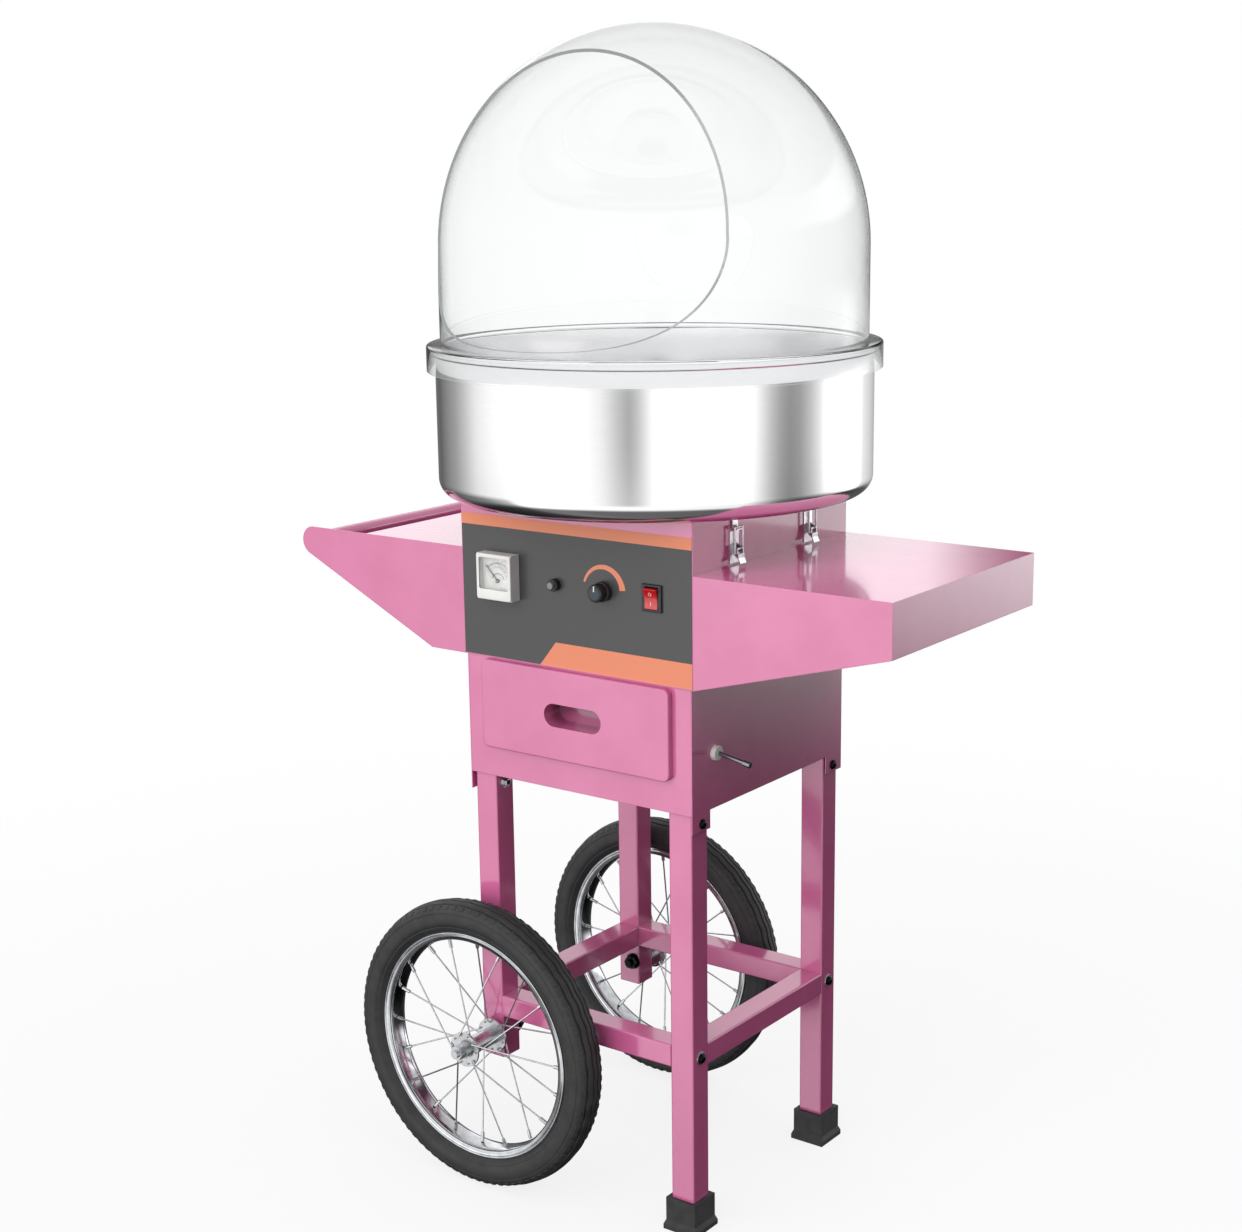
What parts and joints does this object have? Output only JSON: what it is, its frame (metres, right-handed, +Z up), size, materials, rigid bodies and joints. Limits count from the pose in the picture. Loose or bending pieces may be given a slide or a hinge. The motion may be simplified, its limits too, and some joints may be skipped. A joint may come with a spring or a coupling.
{
  "type": "candy floss cart",
  "caption": "Electric candy-floss cart: polished bowl and clear dome on a pink sheet-metal box with controls, side trays, drawer, legs and spoked wheels.",
  "frame": {"origin": "middle of the whole cart's bounding box, on the ground", "axes": "+Z up, controls and drawer face -Y, push handle and wheels at -X, plain tray at +X"},
  "size_m": [0.857, 0.5402, 1.4075],
  "materials": {
    "pink_paint": "gloss powder coat",
    "panel_plastic": "printed matt overlay",
    "polished_steel": "polished stainless",
    "plain_steel": "satin",
    "zinc_steel": "zinc plated",
    "black_steel": "black oxide",
    "cast_aluminium": "machined",
    "clear_plastic": "clear moulded",
    "rubber": "moulded",
    "tyre_rubber": "moulded",
    "rim_steel": "plated",
    "black_plastic": "moulded",
    "white_plastic": "moulded",
    "red_plastic": "moulded",
    "motor_paint": "satin",
    "heater_metal": "oxidised"
  },
  "bodies": {
    "cart": {"lower_side_panels": "pink_paint", "lower_back_panel": "pink_paint", "lower_floor": "pink_paint", "lower_front_frame": "pink_paint", "drawer_runners": "plain_steel", "upper_side_panels": "pink_paint", "upper_back_panel": "pink_paint", "control_panel": "pink_paint", "panel_overlay": "panel_plastic", "top_plate": "pink_paint", "upper_floor": "pink_paint", "right_tray": "pink_paint", "left_tray": "pink_paint", "push_handle": "pink_paint", "legs": "pink_paint", "cross_bars": "pink_paint", "rubber_feet": "rubber", "bolts_and_nuts": "zinc_steel", "wheel_axles": "zinc_steel", "bowl": "polished_steel", "meter_case": "white_plastic", "meter_window": "clear_plastic", "breaker_body": "black_plastic", "heat_control": "zinc_steel", "switch_body": "black_plastic", "cable_gland": "black_plastic", "earth_stud": "zinc_steel", "motor_housing": "motor_paint", "motor_mount": "zinc_steel", "brush_block": "black_plastic", "latch_bases": "zinc_steel", "bowl_strikes": "zinc_steel"},
    "front_wheel": {"front_tyre": "tyre_rubber", "front_rim": "rim_steel", "front_spokes": "zinc_steel", "front_hub": "cast_aluminium"},
    "rear_wheel": {"rear_tyre": "tyre_rubber", "rear_rim": "rim_steel", "rear_spokes": "zinc_steel", "rear_hub": "cast_aluminium"},
    "drawer": {"drawer_front": "pink_paint", "drawer_box": "plain_steel"},
    "spinner": {"drive_shaft": "plain_steel", "head_base": "cast_aluminium", "head_band": "plain_steel", "head_heater": "heater_metal", "head_cap": "cast_aluminium"},
    "dome_cover": {"dome": "clear_plastic"},
    "heat_knob": {"temp_knob": "black_plastic"},
    "breaker_button": {"reset_button": "white_plastic"},
    "rocker": {"power_rocker": "red_plastic"},
    "needle": {"meter_needle": "black_steel"},
    "lever_front_left": {"latch_lever_front_left": "zinc_steel"},
    "bail_front_left": {"latch_bail_front_left": "zinc_steel"},
    "lever_rear_left": {"latch_lever_rear_left": "zinc_steel"},
    "bail_rear_left": {"latch_bail_rear_left": "zinc_steel"},
    "lever_front_right": {"latch_lever_front_right": "zinc_steel"},
    "bail_front_right": {"latch_bail_front_right": "zinc_steel"},
    "lever_rear_right": {"latch_lever_rear_right": "zinc_steel"},
    "bail_rear_right": {"latch_bail_rear_right": "zinc_steel"}
  },
  "joints": [
    {"name": "front_wheel_spin", "type": "hinge", "parent": "cart", "child": "front_wheel", "pos_m": [-0.1295, -0.1966, 0.1845], "axis": [0, 1, 0], "continuous": true},
    {"name": "rear_wheel_spin", "type": "hinge", "parent": "cart", "child": "rear_wheel", "pos_m": [-0.1295, 0.1966, 0.1845], "axis": [0, 1, 0], "continuous": true},
    {"name": "drawer_slide", "type": "slide", "parent": "cart", "child": "drawer", "axis": [0, -1, 0], "range_m": [0, 0.24]},
    {"name": "head_spin", "type": "hinge", "parent": "cart", "child": "spinner", "pos_m": [0.0085, 0, 0.9], "axis": [0, 0, 1], "continuous": true},
    {"name": "dome_lift", "type": "slide", "parent": "cart", "child": "dome_cover", "axis": [0, 0, 1], "range_m": [0, 0.3]},
    {"name": "heat_knob_turn", "type": "hinge", "parent": "cart", "child": "heat_knob", "pos_m": [0.0535, -0.17, 0.773], "axis": [0, 1, 0], "range_deg": [0, 270]},
    {"name": "breaker_press", "type": "slide", "parent": "cart", "child": "breaker_button", "axis": [0, 1, 0], "range_m": [0, 0.0025], "stiffness_N_per_m": 400},
    {"name": "rocker_tilt", "type": "hinge", "parent": "cart", "child": "rocker", "pos_m": [0.122, -0.166, 0.773], "axis": [-1, 0, 0], "range_deg": [0, 20]},
    {"name": "needle_swing", "type": "hinge", "parent": "cart", "child": "needle", "pos_m": [-0.0975, -0.1735, 0.7695], "axis": [0, 1, 0], "range_deg": [0, 90], "stiffness_Nm_per_rad": 0.0005},
    {"name": "lever_front_left_turn", "type": "hinge", "parent": "cart", "child": "lever_front_left", "pos_m": [-0.1665, -0.083, 0.8225], "axis": [0, 1, 0], "range_deg": [0, 150]},
    {"name": "bail_front_left_turn", "type": "hinge", "parent": "lever_front_left", "child": "bail_front_left", "pos_m": [-0.1665, -0.083, 0.8175], "axis": [0, 1, 0], "range_deg": [-150, 0]},
    {"name": "lever_rear_left_turn", "type": "hinge", "parent": "cart", "child": "lever_rear_left", "pos_m": [-0.1665, 0.075, 0.8225], "axis": [0, 1, 0], "range_deg": [0, 150]},
    {"name": "bail_rear_left_turn", "type": "hinge", "parent": "lever_rear_left", "child": "bail_rear_left", "pos_m": [-0.1665, 0.075, 0.8175], "axis": [0, 1, 0], "range_deg": [-150, 0]},
    {"name": "lever_front_right_turn", "type": "hinge", "parent": "cart", "child": "lever_front_right", "pos_m": [0.1835, -0.083, 0.8225], "axis": [0, -1, 0], "range_deg": [0, 150]},
    {"name": "bail_front_right_turn", "type": "hinge", "parent": "lever_front_right", "child": "bail_front_right", "pos_m": [0.1835, -0.083, 0.8175], "axis": [0, -1, 0], "range_deg": [-150, 0]},
    {"name": "lever_rear_right_turn", "type": "hinge", "parent": "cart", "child": "lever_rear_right", "pos_m": [0.1835, 0.075, 0.8225], "axis": [0, -1, 0], "range_deg": [0, 150]},
    {"name": "bail_rear_right_turn", "type": "hinge", "parent": "lever_rear_right", "child": "bail_rear_right", "pos_m": [0.1835, 0.075, 0.8175], "axis": [0, -1, 0], "range_deg": [-150, 0]}
  ],
  "couplings": [
    {"joint": "bail_front_left_turn", "follows": "lever_front_left_turn", "ratio": -1},
    {"joint": "bail_rear_left_turn", "follows": "lever_rear_left_turn", "ratio": -1},
    {"joint": "bail_front_right_turn", "follows": "lever_front_right_turn", "ratio": -1},
    {"joint": "bail_rear_right_turn", "follows": "lever_rear_right_turn", "ratio": -1}
  ]
}
